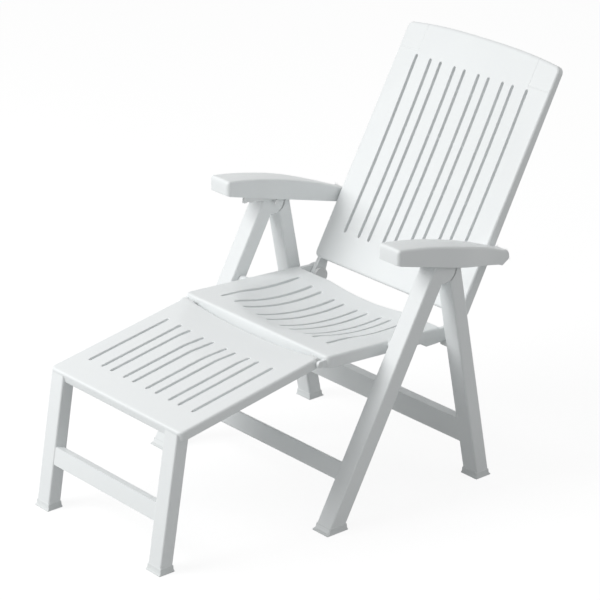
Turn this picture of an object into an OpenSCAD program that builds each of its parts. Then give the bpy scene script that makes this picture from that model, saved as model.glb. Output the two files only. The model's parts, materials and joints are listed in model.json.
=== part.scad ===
// Folding deck chair: two A-shaped sides, a dished slatted seat, a reclining slatted back,
// channel armrests and a footrest that stands on its own legs.
// The front is -Y, up is +Z and the sitter's left is +X. The floor is Z = 0.

/* [Overall] */
// Outer width over the four legs
stance_w = 648; // [630:2:680]
// Wall of the mouldings
wall = 4; // [3:0.5:5]
// Radius of the corners of the seat, back and footrest
corner_r = 14; // [10:1:18]
// Height of the foot caps' soles
sole_h = 5; // [3:0.5:8]
// How far a foot cap stands out round its leg
cap_flare = 3; // [2:0.5:5]
// Height of the foot caps
cap_h = 16; // [12:1:24]

/* [Legs] */
// Width of the four main legs
leg_w = 48; // [44:1:52]
// Depth of the front legs
front_leg_d = 42; // [38:1:46]
// Depth of the rear legs
rear_leg_d = 38; // [34:1:40]
// Lean of the front legs from the vertical
front_lean = 29.2; // [28:0.2:30]
// Lean of the rear legs from the vertical
rear_lean = 10.9; // [10:0.1:12]
// Place of the apex pin, front to back
apex_y = 186; // [180:1:192]
// Height of the apex pin
apex_z = 553; // [545:1:560]
// How far the front leg's centre line runs ahead of the apex pin
front_ahead = 13; // [11:0.5:15]
// How far the rear leg's centre line runs behind the apex pin
rear_behind = 28; // [26:0.5:30]
// Radius of the front leg's fork
fork_r = 34; // [30:1:36]
// Radius of the rear leg's tongue
tongue_r = 20; // [16:1:22]
// Width of the rear leg's tongue
tongue_w = 24; // [18:1:28]

/* [Pins] */
// Radius of the pins
pin_r = 6; // [5:0.25:7]
// Radial clearance of a turning fit
run_gap = 0.05; // [0.03:0.01:0.09]
// Gap between faces that pass each other
side_gap = 0.5; // [0.3:0.1:0.8]

/* [Boards between the legs] */
// Height of the front stretcher
front_board_h = 41; // [36:1:46]
// Height of the front stretcher's lower edge along the leg
front_board_at = 112; // [100:1:130]
// Height of the rear stretcher
rear_board_h = 64; // [56:1:70]
// Height of the rear stretcher's lower edge along the leg
rear_board_at = 90; // [80:1:110]
// Thickness of the stretchers
board_t = 20; // [16:1:24]
// Depth of a stretcher's tenon in its leg
tenon = 12; // [8:1:16]

/* [Seat] */
// Gap between the seat and a leg
seat_gap = 19; // [14:1:24]
// Place of the seat's front edge
seat_front_y = -105; // [-110:1:-100]
// Height of the seat's front edge
seat_front_z = 400; // [396:1:404]
// Length of the seat
seat_len = 346; // [340:1:352]
// Slope of the seat, rear edge lower
seat_slope = 3.4; // [3:0.1:4]
// Depth of the seat's skirts
seat_d = 29; // [26:1:34]
// Depth of the dish in the seat
seat_dish = 26; // [20:1:30]
// Radius of the dish along the seat
seat_dish_r = 640; // [600:10:700]
// How far the dish's deepest place lies behind the seat's middle
seat_dish_behind = 30; // [20:1:40]
// Width of the rim beside the dish
seat_rim = 42; // [36:1:48]
// Place of the seat pin, front to back
seat_pin_y = 82; // [78:1:86]
// Height of the seat pin
seat_pin_z = 378; // [374:1:382]
// Height of the peg that carries the seat's rear
peg_z = 335; // [330:1:338]
// Radius of that peg
peg_r = 7; // [6:0.5:8]

/* [Back] */
// Length of the back
back_len = 616; // [600:2:640]
// Lean of the back from the vertical
back_lean = 29.6; // [28:0.2:31]
// Place of the back's lower edge
back_low_y = 294; // [290:1:298]
// Height of the back's lower edge
back_low_z = 394; // [390:1:400]
// Depth of the back's skirts
back_d = 28; // [25:1:32]
// Depth of the hollow in the back
back_dish = 8; // [5:0.5:10]
// Place of the back's hinge, front to back
hinge_y = 290; // [286:1:294]
// Height of the back's hinge
hinge_z = 350; // [346:1:356]
// Radius of the seat's ears round the hinge
ear_r = 27; // [24:1:30]
// Radius of the back's lugs round the hinge
lug_r = 20; // [17:1:22]
// Thickness of the ears and lugs
ear_t = 12; // [10:1:15]
// Thickness of the hinge pins' heads
head_t = 8; // [6:0.5:10]

/* [Armrests] */
// Width of an armrest at its front
arm_w = 72; // [68:1:78]
// Width of an armrest at its rear
arm_rear_w = 38; // [34:1:44]
// Gap between the back and an armrest
arm_side_gap = 5; // [4:0.5:6]
// Place of the armrest's front end
arm_front_y = 34; // [28:1:40]
// Height of the armrest's top at its front end
arm_front_z = 640; // [632:1:646]
// Height of the front end face
arm_d = 38; // [34:1:42]
// Rise of the armrest's top above a straight line
arm_crown = 14; // [10:1:18]
// Radius of the armrest's rear end
arm_end_r = 18; // [16:0.5:20]
// Outer radius of the bush in the armrest
bush_r = 9; // [8.5:0.25:10]
// Depth of the notches in the rack
notch_d = 3; // [2:0.5:4]
// Distance between the notches
notch_pitch = 18; // [16:1:22]
// Number of notches
notch_n = 6; // [4:1:6]
// Thickness of the rack
rack_t = 7; // [5:1:8]

/* [Slots] */
// Number of pairs of slots to each side of the middle
slot_pairs = 2; // [1:1:2]
// Width of a slot
slot_w = 6; // [4:0.5:8]
// Distance between slots across a wide slat
wide_pitch = 48; // [44:0.5:50]
// Distance between slots across a narrow slat
narrow_pitch = 34; // [30:0.5:36]
// Margin from the seat's front edge to its slots
seat_margin_front = 56; // [50:1:64]
// Margin from the seat's rear edge to its slots
seat_margin_rear = 48; // [40:1:60]
// Margin from the back's lower edge to its slots
back_margin_low = 79; // [70:1:90]
// Margin from the back's top edge to its slots
back_margin_top = 72; // [64:1:80]
// Margin from the footrest's front edge to its slots
foot_margin_front = 74; // [64:1:84]
// Margin from the footrest's rear edge to its slots
foot_margin_rear = 86; // [76:1:96]

/* [Footrest] */
// How far the footrest's sides stand in from the seat's
foot_in = 17; // [12:1:24]
// Place of the footrest's front edge
foot_front_y = -508; // [-520:1:-500]
// Height of the footrest's front edge
foot_front_z = 327; // [322:1:332]
// Depth of the footrest's skirts
foot_d = 23; // [20:1:27]
// Width of the footrest's legs
foot_leg_w = 46; // [42:1:50]
// Depth of the footrest's legs
foot_leg_d = 34; // [30:1:38]
// Lean of the footrest's legs
foot_leg_lean = 9.8; // [9:0.1:10.5]
// How far the legs stand in from the footrest's sides
foot_leg_inset = 8; // [6:1:12]
// Height of the footrest's stretcher
foot_board_h = 43; // [38:1:48]
// Height of that stretcher's lower edge along the leg
foot_board_at = 110; // [100:1:120]
// Radius of the footrest's pins
foot_pin_r = 5; // [4:0.25:5.5]
// Drop of the footrest's pins below its top
foot_nose_r = 13; // [12:0.5:14]
// Width of a footrest hook
hook_w = 28; // [22:1:32]
// Dip of the footrest's rear edge in the middle
foot_dip = 17; // [12:1:20]
// Slope of that dip along the footrest
foot_dip_slope = 6; // [5:0.5:8]
// How far the dip stays in from the footrest's sides
foot_dip_inset = 16; // [12:1:30]

/* [Hidden] */
$fn = 48;
fine = 360;
resin = "white";
shade = "gainsboro";

leg_out = stance_w / 2;
leg_in = leg_out - leg_w;
apex = [apex_y, apex_z];
seat_pin = [seat_pin_y, seat_pin_z];
hinge = [hinge_y, hinge_z];
arm_pin = apex + hinge - seat_pin;
front_foot_y = apex_y - front_ahead / cos(front_lean) - apex_z * tan(front_lean);
rear_foot_y = apex_y + rear_behind / cos(rear_lean) + apex_z * tan(rear_lean);
peg = [rear_foot_y - peg_z * tan(rear_lean), peg_z];
foot_w = 2 * (leg_out - leg_w - seat_gap - foot_in);
foot_leg_half = foot_leg_d / 2 / cos(foot_leg_lean);
foot_foot_y = foot_front_y - foot_front_z * tan(foot_leg_lean) + foot_leg_half;
foot_leg_out = foot_w / 2 - foot_leg_inset;
foot_leg_in = foot_leg_out - foot_leg_w;
seat_half = leg_in - seat_gap;
seat_w = 2 * seat_half;
back_half = seat_half;
back_w = seat_w;
arm_in = back_half + arm_side_gap;
arm_out = arm_in + arm_w;

foot_pin_y = seat_front_y - foot_nose_r - 1;
foot_slope = atan((seat_front_z - foot_nose_r / 3 - foot_front_z) / (foot_pin_y - foot_front_y));
foot_pin_z = foot_front_z + (foot_pin_y - foot_front_y) * tan(foot_slope)
    - foot_nose_r / cos(foot_slope);
foot_pin = [foot_pin_y, foot_pin_z];
foot_len = (foot_pin_y - foot_front_y) / cos(foot_slope) - foot_nose_r * tan(foot_slope);

back_top = [back_low_y + back_len * sin(back_lean) + back_d * cos(back_lean),
    back_low_z + back_len * cos(back_lean)];
front_reach = foot_foot_y - foot_leg_half - cap_flare;
mid_y = (front_reach + back_top[0]) / 2;
hook_r = foot_nose_r - 1;
hook_in = foot_w / 2 - hook_w - wall;
hook_plate = foot_w / 2 + 3 * side_gap;
rack_in = arm_in + wall;
rack_lift = 0.6;
peg_gap = 0.3;
cut = 1;

// Shapes that repeat

module placed() {
    translate([0, -mid_y, 0]) children();
}

module both_ways(side) {
    if (side > 0) children();
    else mirror([1, 0, 0]) children();
}

// Extrudes a side outline, drawn as (front to back, up), from x = start over a width
module across(start, width) {
    translate([start, 0, 0]) rotate([90, 0, 90]) linear_extrude(width) children();
}

// A straight bar that leans back from its foot, between two heights
module leaning_bar(foot_y, lean, depth, low, high) {
    half = depth / 2 / cos(lean);
    polygon([for (p = [[-half, low], [half, low], [half, high], [-half, high]])
        [foot_y + p[0] + p[1] * tan(lean), p[1]]]);
}

module disc(centre, radius) {
    translate(centre) circle(radius);
}

module rounded_plate(w, l, r) {
    translate([-w / 2 + r, 0]) square([w - 2 * r, l]);
    translate([-w / 2, r]) square([w, l - 2 * r]);
    for (x = [-w / 2 + r, w / 2 - r], y = [r, l - r]) translate([x, y]) circle(r);
}

// Hollow turned round an axis across the part: its surface is deepest at the middle
module dish(depth, along_r, across_r, mid, grow, w) {
    centre = along_r - across_r;
    translate([0, mid, along_r - depth]) rotate([0, 90, 0]) rotate_extrude($fn = fine)
        intersection() {
            translate([centre, 0]) circle(across_r + grow, $fn = 2 * fine);
            translate([0, -w / 2]) square([along_r + grow, w]);
        }
}

// Shallow trough along the part, deepest in the middle
module trough(depth, half, l, tilt, grow) {
    r = (half * half + depth * depth) / 2 / depth;
    translate([0, -l / 2, r - depth]) rotate([-90 - tilt, 0, 0]) mirror([0, 1, 0])
        cylinder(h = 2 * l, r = r + grow, $fn = fine);
}

slot_count = 2 * slot_pairs + 1;
slot_x = [for (side = [-1, 1], i = [0:slot_count - 1])
    side * (wide_pitch / 2 + ceil(i / 2) * narrow_pitch + floor(i / 2) * wide_pitch)];

module slots(from, to, depth) {
    for (x = slot_x) translate([x, 0, -depth]) {
        translate([-slot_w / 2, from + slot_w / 2, 0]) cube([slot_w, to - from - slot_w, 2 * depth]);
        for (y = [from + slot_w / 2, to - slot_w / 2])
            translate([0, y, 0]) cylinder(h = 2 * depth, r = slot_w / 2, $fn = 24);
    }
}

// Foot cap: a block round the end of a leg
module cap(x0, w, foot_y, lean, depth) {
    half = depth / 2 / cos(lean);
    shift = cap_h * tan(lean);
    translate([x0 - cap_flare, foot_y - half - cap_flare + min(shift, 0), 0])
        cube([w + 2 * cap_flare, 2 * (half + cap_flare) + abs(shift), cap_h]);
}

// Side frames

module front_leg_solid() {
    cheek = (leg_w - tongue_w) / 2 - side_gap;
    for (x = [leg_in, leg_out - cheek]) across(x, cheek) {
        leaning_bar(front_foot_y, front_lean, front_leg_d, sole_h, apex_z);
        disc(apex, fork_r);
    }
    across(leg_in + cheek, leg_w - 2 * cheek) difference() {
        leaning_bar(front_foot_y, front_lean, front_leg_d, sole_h, apex_z - fork_r * 0.2);
        disc(apex, tongue_r + side_gap);
    }
}

module front_leg(side) {
    color(resin) placed() both_ways(side) difference() {
        front_leg_solid();
        across(leg_in - cut, leg_w - wall + cut) disc(apex, pin_r);
        across(leg_in - cut, leg_w * 0.75 + cut) disc(seat_pin, pin_r);
        board_cut(front_foot_y, front_lean, front_leg_d, front_board_at, front_board_h);
    }
}

// Pocket in a leg for the end of a stretcher
module board_cut(foot_y, lean, depth, at, height) {
    translate([leg_in - cut, 0, 0]) board_shape(foot_y, lean, depth, at, height, tenon + cut, 0);
}

module board_shape(foot_y, lean, depth, at, height, w, inset) {
    translate([0, foot_y, 0]) rotate([-lean, 0, 0])
        translate([0, -depth / 2 + wall / 2, at + inset])
            cube([w, board_t, height - 2 * inset]);
}

module stretcher(inner, foot_y, lean, depth, at, height) {
    w = 2 * (inner + tenon);
    color(resin) placed() translate([-w / 2, 0, 0]) board_shape(foot_y, lean, depth, at, height, w, 0);
}

module rear_leg_solid() {
    shoulder = apex_z + tongue_r;
    across(leg_in, leg_w) difference() {
        leaning_bar(rear_foot_y, -rear_lean, rear_leg_d, sole_h, shoulder);
        disc(apex, fork_r + side_gap);
    }
    across(leg_in + (leg_w - tongue_w) / 2, tongue_w) {
        leaning_bar(rear_foot_y, -rear_lean, rear_leg_d, sole_h, shoulder);
        disc(apex, tongue_r);
    }
}

module rear_leg(side) {
    color(resin) placed() both_ways(side) difference() {
        rear_leg_solid();
        across(leg_in - cut, leg_w + 2 * cut) disc(apex, pin_r + run_gap);
        across(leg_in - cut, leg_w / 2 + cut) disc(peg, peg_r);
        board_cut(rear_foot_y, -rear_lean, rear_leg_d, rear_board_at, rear_board_h);
    }
}

module leg_glide(side, foot_y, lean, depth) {
    color(shade) placed() both_ways(side) difference() {
        cap(leg_in, leg_w, foot_y, lean, depth);
        across(leg_in, leg_w) leaning_bar(foot_y, lean, depth, sole_h, 2 * cap_h);
    }
}

module apex_pin(side) {
    color(shade) placed() both_ways(side)
        across(rack_in, leg_out - wall - rack_in) disc(apex, pin_r);
}

module seat_pin(side) {
    color(shade) placed() both_ways(side)
        across(seat_half - 3 * wall, leg_in - seat_half + 3 * wall + leg_w * 0.75) disc(seat_pin, pin_r);
}

module seat_peg(side) {
    start = seat_half - ear_t - 2;
    color(shade) placed() both_ways(side)
        across(start, leg_in + leg_w / 2 - start) disc(peg, peg_r);
}

// Slatted mouldings, drawn flat with the top at z = 0 and the lower or front edge at y = 0

module panel(w, l, d, r) {
    difference() {
        translate([0, 0, -d]) linear_extrude(d) rounded_plate(w, l, r);
        children(0);
        difference() {
            translate([0, wall, -d - cut]) linear_extrude(d + cut - wall)
                rounded_plate(w - 2 * wall, l - 2 * wall, r - wall);
            children(1);
        }
    }
}

module cross_ribs(w, l, d, ys, low) {
    for (y = ys) translate([-w / 2 + wall, y - wall / 2, -d + low])
        cube([w - 2 * wall, wall, d - low - wall]);
}

module seat_hollow(grow) {
    across_r = pow(seat_half - seat_rim, 2) / 2 / seat_dish;
    dish(seat_dish, seat_dish_r, across_r, seat_len / 2 + seat_dish_behind, grow, seat_w);
}

module seat_shell() {
    difference() {
        union() {
            panel(seat_w, seat_len, seat_d, corner_r) {
                seat_hollow(0);
                seat_hollow(wall);
            }
            difference() {
                for (x = [-1, 1]) translate([x * seat_half / 2 - wall / 2, wall, -seat_d])
                    cube([wall, seat_len - 2 * wall, seat_d - wall]);
                seat_hollow(wall / 2);
            }
        }
        slots(seat_margin_front, seat_len - seat_margin_rear, 2 * seat_d);
    }
}

module in_seat() {
    translate([0, seat_front_y, seat_front_z]) rotate([-seat_slope, 0, 0]) children();
}

// Outline of the seat's rear ear: it rests on the peg and goes round the hinge
module ear_outline() {
    rear = seat_front_y + seat_len * cos(seat_slope);
    rim = seat_front_z - seat_len * sin(seat_slope);
    flat = peg_z + peg_r + peg_gap;
    run = 60;
    ramp = 15;
    polygon([[rear - run, rim - wall], [rear - run, flat + ramp / 2], [rear - run + ramp, flat],
        [peg[0] + peg_r + 1, flat], [peg[0] + peg_r + 3, flat - peg_r],
        [hinge_y, hinge_z - ear_r], [hinge_y, hinge_z + ear_r], [rear, rim + wall / 2]]);
    disc(hinge, ear_r);
}

module seat() {
    boss_r = pin_r + 1.25 * wall;
    eye_r = foot_pin_r + wall;
    front_wall = seat_front_y + 2 * wall;
    color(resin) placed() difference() {
        union() {
            in_seat() seat_shell();
            for (side = [-1, 1]) both_ways(side) {
                across(seat_half - ear_t, ear_t) ear_outline();
                across(seat_half - 5 * wall, 5 * wall) disc(seat_pin, boss_r);
                across(seat_half - cut, leg_in - seat_half - side_gap + cut) disc(seat_pin, boss_r);
                across(hook_plate, 2 * wall) {
                    disc(foot_pin, eye_r);
                    polygon([[foot_pin_y, foot_pin_z + eye_r], [foot_pin_y, foot_pin_z - eye_r],
                        [front_wall, foot_pin_z - eye_r], [front_wall, foot_pin_z + eye_r]]);
                }
            }
        }
        for (side = [-1, 1]) both_ways(side) {
            across(seat_half - 6 * wall, 6 * wall + leg_in) disc(seat_pin, pin_r + run_gap);
            across(seat_half - ear_t - cut, ear_t + 2 * cut) disc(hinge, pin_r + run_gap);
            across(hook_plate - cut, 2 * wall + 2 * cut) disc(foot_pin, foot_pin_r + run_gap);
        }
    }
}

// Back

module back_hinge_pin(side) {
    start = seat_half - 2 * ear_t - 2 * side_gap;
    color(shade) placed() both_ways(side) {
        across(start, seat_half - start) disc(hinge, pin_r);
        across(start - head_t, head_t) disc(hinge, lug_r);
    }
}

module in_back() {
    translate([0, back_low_y, back_low_z]) rotate([90 - back_lean, 0, 0]) children();
}

module back_hollow(grow) {
    half_len = back_len / 2;
    along_r = half_len * half_len / 2 / back_dish;
    across_r = back_half * back_half / 2 / back_dish;
    dish(back_dish, along_r, across_r, half_len, grow, back_w);
}

module back_shell() {
    difference() {
        union() {
            panel(back_w, back_len, back_d, corner_r) {
                back_hollow(0);
                back_hollow(wall);
            }
            difference() {
                cross_ribs(back_w, back_len, back_d, [for (i = [1:4]) back_len * i / 5], 1.5 * wall);
                back_hollow(wall / 2);
            }
        }
        slots(back_margin_low, back_len - back_margin_top, 2 * wall + back_dish);
    }
}

module back() {
    lug_out = seat_half - ear_t - side_gap;
    boss_r = pin_r + 1.5 * wall;
    toe = [back_low_y, back_low_z];
    up = [sin(back_lean), cos(back_lean)];
    deep = [cos(back_lean), -sin(back_lean)];
    color(resin) placed() difference() {
        union() {
            in_back() back_shell();
            for (side = [-1, 1]) both_ways(side) {
                across(lug_out - ear_t, ear_t) {
                    polygon([toe + corner_r * up + wall / 2 * deep,
                        toe + corner_r * up + (back_d - wall / 2) * deep,
                        hinge + lug_r * deep, hinge - lug_r * deep]);
                    disc(hinge, lug_r);
                }
                across(back_half - 5 * wall, 4.5 * wall) disc(arm_pin, boss_r);
            }
        }
        for (side = [-1, 1]) both_ways(side) {
            across(lug_out - ear_t - cut, ear_t + 2 * cut) disc(hinge, pin_r + run_gap);
            across(back_half - 5 * wall - cut, 6 * wall + cut) disc(arm_pin, pin_r + run_gap);
        }
    }
}

// Armrests

module arm_pin(side) {
    color(shade) placed() both_ways(side)
        across(back_half - 5 * wall, 5 * wall + arm_side_gap + arm_rear_w - 2 * wall) disc(arm_pin, pin_r);
}

module arm_bush(side) {
    color(shade) placed() both_ways(side)
        across(arm_in, arm_rear_w - 2 * wall) difference() {
            disc(arm_pin, bush_r);
            disc(arm_pin, pin_r + run_gap);
        }
}

arm_top_front = [arm_front_y, arm_front_z];
arm_top_rear = arm_pin + [0, arm_end_r];
arm_low_front = [arm_front_y, arm_front_z - arm_d];
arm_low_rear = arm_pin - [0, arm_end_r];
arm_steps = 14;

function arm_top(t) = arm_top_front + t * (arm_top_rear - arm_top_front) + [0, 4 * arm_crown * t * (1 - t)];

// Side outline of the armrest, drawn in by a wall
module arm_side(inset) {
    nose = 12;
    top = [for (i = [0:arm_steps]) arm_top(i / arm_steps) - [0, inset]];
    bow = [for (a = [0:15:90]) arm_low_front
        + [inset + nose * (1 - cos(a)), arm_d - inset - nose * (1 - sin(a))]];
    drop = inset == 0 ? 0 : 2 * arm_end_r;
    end = [for (a = [75:-15:-75]) arm_pin + arm_end_r * [cos(a), sin(a)]];
    polygon(concat([arm_low_front + [inset, -drop]], bow,
        [for (p = top) if (p[0] > arm_front_y + nose + inset) p],
        inset == 0 ? end : [], [arm_low_rear - [0, drop]]));
}

// Outline of the armrest from above
module arm_plan(inset) {
    rear = arm_pin[0] + arm_end_r;
    corner = 24;
    straight = apex_y + rear_behind - 2 * wall;
    ends = [for (a = [0:15:90]) [arm_out - corner + (corner - inset) * cos(a),
        arm_front_y + corner - (corner - inset) * sin(a)]];
    inner = [for (a = [90:15:180]) [arm_in + corner + (corner - inset) * cos(a),
        arm_front_y + corner - (corner - inset) * sin(a)]];
    taper = [for (t = [0:0.1:1]) [arm_out - (arm_w - arm_rear_w) * (3 * t * t - 2 * t * t * t) - inset,
        straight + t * (arm_pin[0] - straight)]];
    polygon(concat(ends, inner, [[arm_in + inset, rear + inset], [arm_in + arm_rear_w - inset, rear + inset]],
        [for (i = [10:-1:0]) taper[i]]));
}

module armrest(side) {
    channel_end = arm_pin[0] - arm_end_r - wall;
    color(resin) placed() both_ways(side) difference() {
        intersection() {
            across(arm_in, arm_w) arm_side(0);
            linear_extrude(2 * arm_front_z) arm_plan(0);
        }
        intersection() {
            across(arm_in, arm_w) arm_side(wall);
            linear_extrude(2 * arm_front_z) arm_plan(wall);
            translate([arm_in, arm_front_y, 0]) cube([arm_w, channel_end - arm_front_y, 2 * arm_front_z]);
        }
        across(arm_in - cut, arm_rear_w - 2 * wall + cut) disc(arm_pin, bush_r + run_gap);
    }
}

module rack(side) {
    // The rail runs forward from above the apex pin and follows the line to the armrest's pin
    line = atan2(arm_pin[1] - apex_z, arm_pin[0] - apex_y);
    length = notch_pitch * (notch_n - 1);
    rail_h = 34;
    ahead = 14;
    behind = 20;
    color(shade) placed() both_ways(side) intersection() {
        across(rack_in, rack_t) difference() {
            translate(apex) rotate(line) translate([-length - ahead, pin_r + rack_lift])
                square([length + ahead + behind, rail_h]);
            for (i = [0:notch_n - 1]) translate(apex) rotate(line)
                translate([-i * notch_pitch, 0]) circle(pin_r + notch_d);
        }
        across(rack_in, rack_t) arm_side(wall);
        linear_extrude(2 * arm_front_z) arm_plan(wall);
    }
}

// Footrest

module in_foot() {
    translate([0, foot_front_y, foot_front_z]) rotate([foot_slope, 0, 0]) children();
}

module footrest_pin(side) {
    color(shade) placed() both_ways(side)
        across(hook_in, hook_plate + 2 * wall - hook_in) disc(foot_pin, foot_pin_r);
}

module foot_leg_bar(high) {
    leaning_bar(foot_foot_y, foot_leg_lean, foot_leg_d, sole_h, high);
}

module foot_hollow(grow) {
    translate([0, foot_len, 0]) rotate([0, 0, 180])
        trough(foot_dip, foot_w / 2 - foot_dip_inset, foot_len, -foot_dip_slope, grow);
}

module footrest_panel() {
    color(resin) placed() difference() {
        in_foot() difference() {
            panel(foot_w, foot_len, foot_d, corner_r) {
                foot_hollow(0);
                foot_hollow(wall);
            }
            slots(foot_margin_front, foot_len - foot_margin_rear, 2 * foot_d);
        }
        for (side = [-1, 1]) both_ways(side) {
            across(foot_leg_in, foot_leg_w) foot_leg_bar(foot_front_z - wall / 2);
            across(hook_in - side_gap, hook_w + 2 * wall) disc(foot_pin, hook_r);
        }
    }
}

module footrest_leg(side) {
    color(resin) placed() both_ways(side) difference() {
        across(foot_leg_in, foot_leg_w) foot_leg_bar(foot_front_z - wall / 2);
        in_foot() translate([-foot_w, -foot_len, -wall - 0.1]) cube([2 * foot_w, 2 * foot_len, 10 * wall]);
        translate([foot_leg_in - cut, 0, 0])
            board_shape(foot_foot_y, foot_leg_lean, foot_leg_d, foot_board_at, foot_board_h, tenon + cut, 0);
    }
}

module footrest_glide(side) {
    color(shade) placed() both_ways(side) difference() {
        cap(foot_leg_in, foot_leg_w, foot_foot_y, foot_leg_lean, foot_leg_d);
        across(foot_leg_in, foot_leg_w) foot_leg_bar(2 * cap_h);
    }
}

module footrest_hook(side) {
    color(shade) placed() both_ways(side)
        across(hook_in, hook_w) difference() {
            disc(foot_pin, hook_r - side_gap / 2);
            disc(foot_pin, foot_pin_r + run_gap);
        }
}

front_leg(1);  // front_leg_left
front_leg(-1);  // front_leg_right
stretcher(leg_in, front_foot_y, front_lean, front_leg_d, front_board_at, front_board_h);  // front_stretcher
leg_glide(1, front_foot_y, front_lean, front_leg_d);  // front_glide_left
leg_glide(-1, front_foot_y, front_lean, front_leg_d);  // front_glide_right
apex_pin(1);  // apex_pin_left
apex_pin(-1);  // apex_pin_right
seat_pin(1);  // seat_pin_left
seat_pin(-1);  // seat_pin_right
rear_leg(1);  // rear_leg_left
rear_leg(-1);  // rear_leg_right
stretcher(leg_in, rear_foot_y, -rear_lean, rear_leg_d, rear_board_at, rear_board_h);  // rear_stretcher
leg_glide(1, rear_foot_y, -rear_lean, rear_leg_d);  // rear_glide_left
leg_glide(-1, rear_foot_y, -rear_lean, rear_leg_d);  // rear_glide_right
seat_peg(1);  // seat_peg_left
seat_peg(-1);  // seat_peg_right
seat();
back_hinge_pin(1);  // back_hinge_pin_left
back_hinge_pin(-1);  // back_hinge_pin_right
back();
arm_pin(1);  // arm_pin_left
arm_pin(-1);  // arm_pin_right
arm_bush(1);  // arm_bush_left
arm_bush(-1);  // arm_bush_right
armrest(1);  // armrest_left
armrest(-1);  // armrest_right
rack(1);  // rack_left
rack(-1);  // rack_right
footrest_pin(1);  // footrest_pin_left
footrest_pin(-1);  // footrest_pin_right
footrest_panel();
footrest_leg(1);  // footrest_leg_left
footrest_leg(-1);  // footrest_leg_right
stretcher(foot_leg_in, foot_foot_y, foot_leg_lean, foot_leg_d, foot_board_at, foot_board_h);  // footrest_stretcher
footrest_hook(1);  // footrest_hook_left
footrest_hook(-1);  // footrest_hook_right
footrest_glide(1);  // footrest_glide_left
footrest_glide(-1);  // footrest_glide_right
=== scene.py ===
"""Folding deck chair in white moulded resin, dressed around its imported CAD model.

Sizes and places are in the source's millimetres until a mesh is made. There the front is -Y, up is +Z
and the source's own zero lies SHIFT millimetres in front of the part's middle.
"""

from __future__ import annotations

import json
import logging
import math
from collections.abc import Callable, Iterable, Sequence
from dataclasses import dataclass
from enum import Enum

import bmesh
import bpy
from mathutils import Matrix, Vector

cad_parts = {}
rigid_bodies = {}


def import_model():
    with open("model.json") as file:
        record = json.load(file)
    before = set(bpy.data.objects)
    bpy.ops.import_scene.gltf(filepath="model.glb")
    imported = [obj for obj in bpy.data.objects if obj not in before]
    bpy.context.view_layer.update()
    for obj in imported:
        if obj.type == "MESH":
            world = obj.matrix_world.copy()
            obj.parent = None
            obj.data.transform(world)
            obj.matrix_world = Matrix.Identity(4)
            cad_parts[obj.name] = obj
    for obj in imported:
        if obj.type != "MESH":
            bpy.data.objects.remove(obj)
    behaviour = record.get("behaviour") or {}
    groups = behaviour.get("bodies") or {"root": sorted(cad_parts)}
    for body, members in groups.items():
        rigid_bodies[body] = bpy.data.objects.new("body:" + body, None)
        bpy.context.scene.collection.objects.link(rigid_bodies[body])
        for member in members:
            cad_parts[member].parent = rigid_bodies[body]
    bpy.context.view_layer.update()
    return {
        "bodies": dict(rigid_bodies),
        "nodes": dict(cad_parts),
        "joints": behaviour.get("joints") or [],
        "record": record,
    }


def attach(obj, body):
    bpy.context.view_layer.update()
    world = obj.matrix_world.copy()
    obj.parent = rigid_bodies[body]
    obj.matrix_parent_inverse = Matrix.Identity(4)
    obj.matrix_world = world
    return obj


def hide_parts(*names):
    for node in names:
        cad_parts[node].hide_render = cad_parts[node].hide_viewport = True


LOG = logging.getLogger("deck_chair")
MM = 0.001
SHIFT = 27.5657

WHITE = (1.0, 1.0, 1.0, 1.0)

Place = Callable[[float, float, float], Vector]
Height = Callable[[float, float], float]
Point = tuple[float, float]
Flat = dict[bmesh.types.BMVert, tuple[float, float, float]]


class Side(Enum):
    """The sitter's left and right."""

    LEFT = 1
    RIGHT = -1

    @property
    def label(self) -> str:
        """The name that the nodes and bodies use."""
        return self.name.lower()


def in_part(x: float, y: float, z: float) -> Vector:
    """Gives the part's place, in metres, of a place in the source's millimetres."""
    return Vector((x, y - SHIFT, z)) * MM


def tilted(y: float, z: float, degrees: float) -> Place:
    """Makes the placing of a moulding that is drawn flat.

    Args:
        y: Place of its front or lower edge, front to back.
        z: Height of that edge.
        degrees: How far its rear rises.

    Returns:
        A function from flat millimetres to the part's metres.
    """
    rise = math.radians(degrees)
    cos_r, sin_r = math.cos(rise), math.sin(rise)

    def place(x: float, along: float, up: float) -> Vector:
        """Gives the part's place of a flat place."""
        return in_part(x, y + along * cos_r - up * sin_r, z + along * sin_r + up * cos_r)

    return place


def filled(marks: Iterable[float], step: float) -> list[float]:
    """Sorts the marks and fills the wide gaps between them evenly.

    Args:
        marks: Places that must stay.
        step: Widest gap to leave.

    Returns:
        The marks with the added places.
    """
    kept: list[float] = []
    for mark in sorted(marks):
        if not kept or mark - kept[-1] > 0.05:
            kept.append(mark)
    out = [kept[0]]
    for low, high in zip(kept, kept[1:]):
        parts = max(1, math.ceil((high - low) / step))
        out += [low + (high - low) * k / parts for k in range(1, parts + 1)]
    return out


def eased(low: float, ease: float, reach: float) -> float:
    """Joins a hollow to the flat around it without a crease.

    Args:
        low: Height of the hollow, above 0 where the flat cuts it off.
        ease: Size of the rounding where the two meet.
        reach: How deep in the hollow the rounding still lifts it.

    Returns:
        The height of the joined surface, 0 at most.
    """
    rounded = 0.5 * (low - math.sqrt(low * low + ease * ease))
    return min(0.0, rounded + ease / 2 * math.exp(-abs(low) / reach))


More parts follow.
